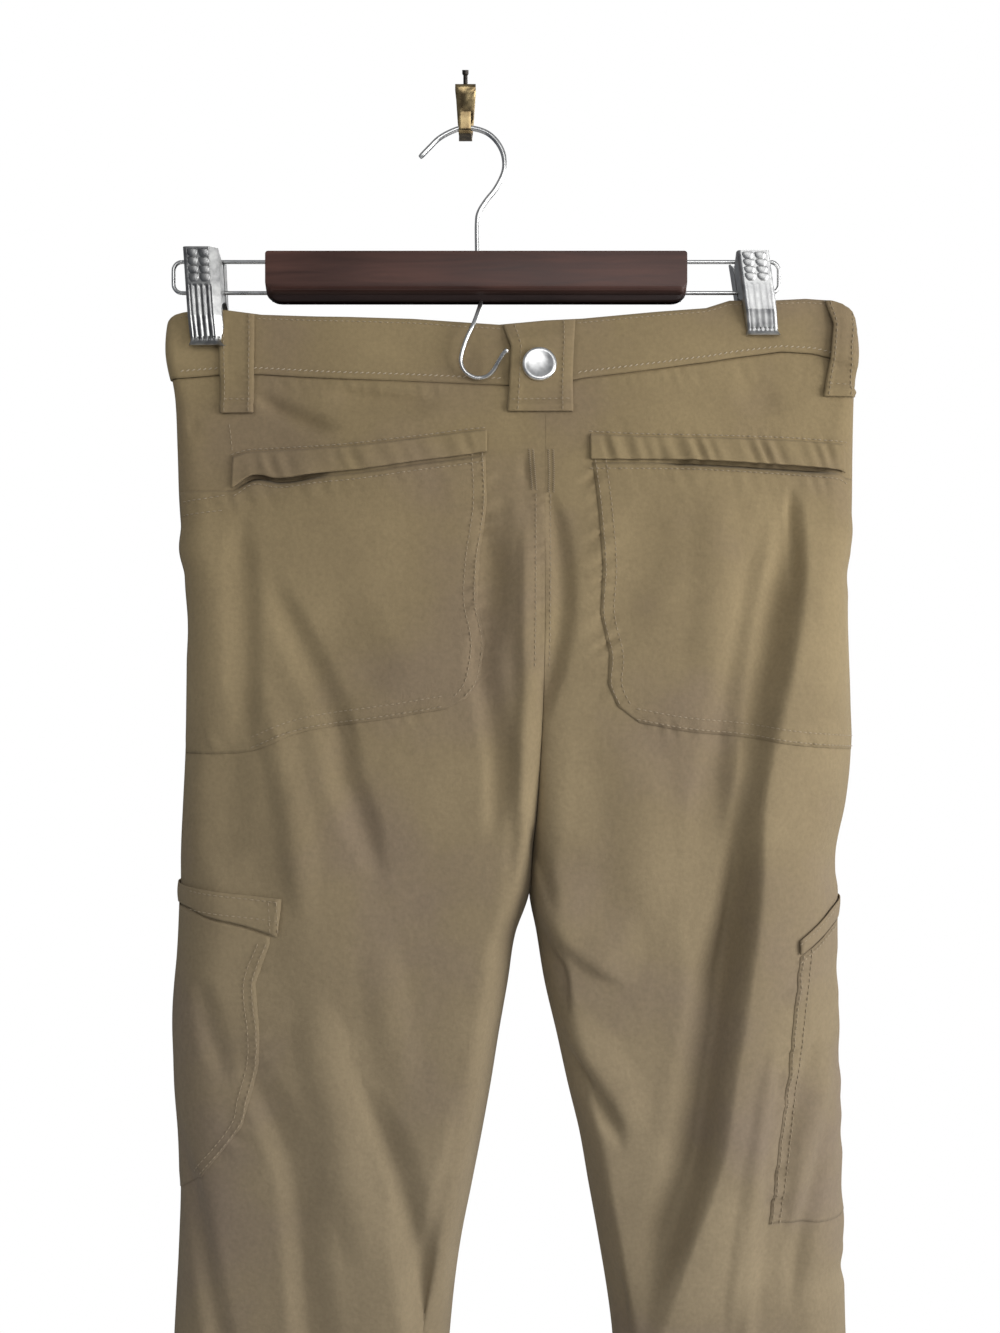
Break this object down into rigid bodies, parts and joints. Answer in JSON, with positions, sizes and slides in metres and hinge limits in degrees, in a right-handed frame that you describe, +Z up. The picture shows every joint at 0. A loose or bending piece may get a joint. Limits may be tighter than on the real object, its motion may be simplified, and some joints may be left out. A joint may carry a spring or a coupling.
{
  "type": "cargo pants on a clip hanger with a wall hook",
  "caption": "Woven cargo pants hung by the waistband from a wooden clip hanger on a brass wall hook; open waist and hems, wide centre-back loop, seat patches, wrapped cargo pockets.",
  "frame": {"origin": "middle of the wall hook's back strip, on the wall plane that it is fixed to", "axes": "+X along the hanger bar to the wearer's right, +Y into the wall, +Z up; the back of the garment faces -Y"},
  "size_m": [0.4008, 0.08, 1.2572],
  "materials": {
    "khaki_cloth": "light plain-woven nylon, matt with a faint sheen",
    "button_metal": "polished pressed metal",
    "hanger_wood": "dark brown stain, satin lacquer",
    "wire_steel": "bright plated wire",
    "clip_steel": "bright plated pressed sheet",
    "hook_brass": "worn polished brass",
    "nail_dark": "blackened steel"
  },
  "bodies": {
    "root": {"panel_back_left": "khaki_cloth", "panel_back_right": "khaki_cloth", "panel_front_left": "khaki_cloth", "panel_front_right": "khaki_cloth", "waistband": "khaki_cloth", "loop_centre_back": "khaki_cloth", "loop_back_left": "khaki_cloth", "loop_back_right": "khaki_cloth", "loop_front_left": "khaki_cloth", "loop_front_right": "khaki_cloth", "seat_patch_left": "khaki_cloth", "seat_patch_right": "khaki_cloth", "back_welt_left": "khaki_cloth", "back_welt_right": "khaki_cloth", "cargo_pocket_left": "khaki_cloth", "cargo_pocket_right": "khaki_cloth", "cargo_welt_left": "khaki_cloth", "cargo_welt_right": "khaki_cloth", "fly_placket": "khaki_cloth", "hand_pocket_edge_left": "khaki_cloth", "hand_pocket_edge_right": "khaki_cloth", "hem_left": "khaki_cloth", "hem_right": "khaki_cloth", "loop_cap": "button_metal", "waist_button": "button_metal", "hanger_bar": "hanger_wood", "hanger_hook": "wire_steel", "lower_hook": "wire_steel", "side_wire_left": "wire_steel", "side_wire_right": "wire_steel", "clip_back_left": "clip_steel", "clip_front_left": "clip_steel", "clip_spring_left": "clip_steel", "clip_back_right": "clip_steel", "clip_front_right": "clip_steel", "clip_spring_right": "clip_steel", "wall_hook": "hook_brass", "wall_nail": "nail_dark"}
  },
  "joints": []
}
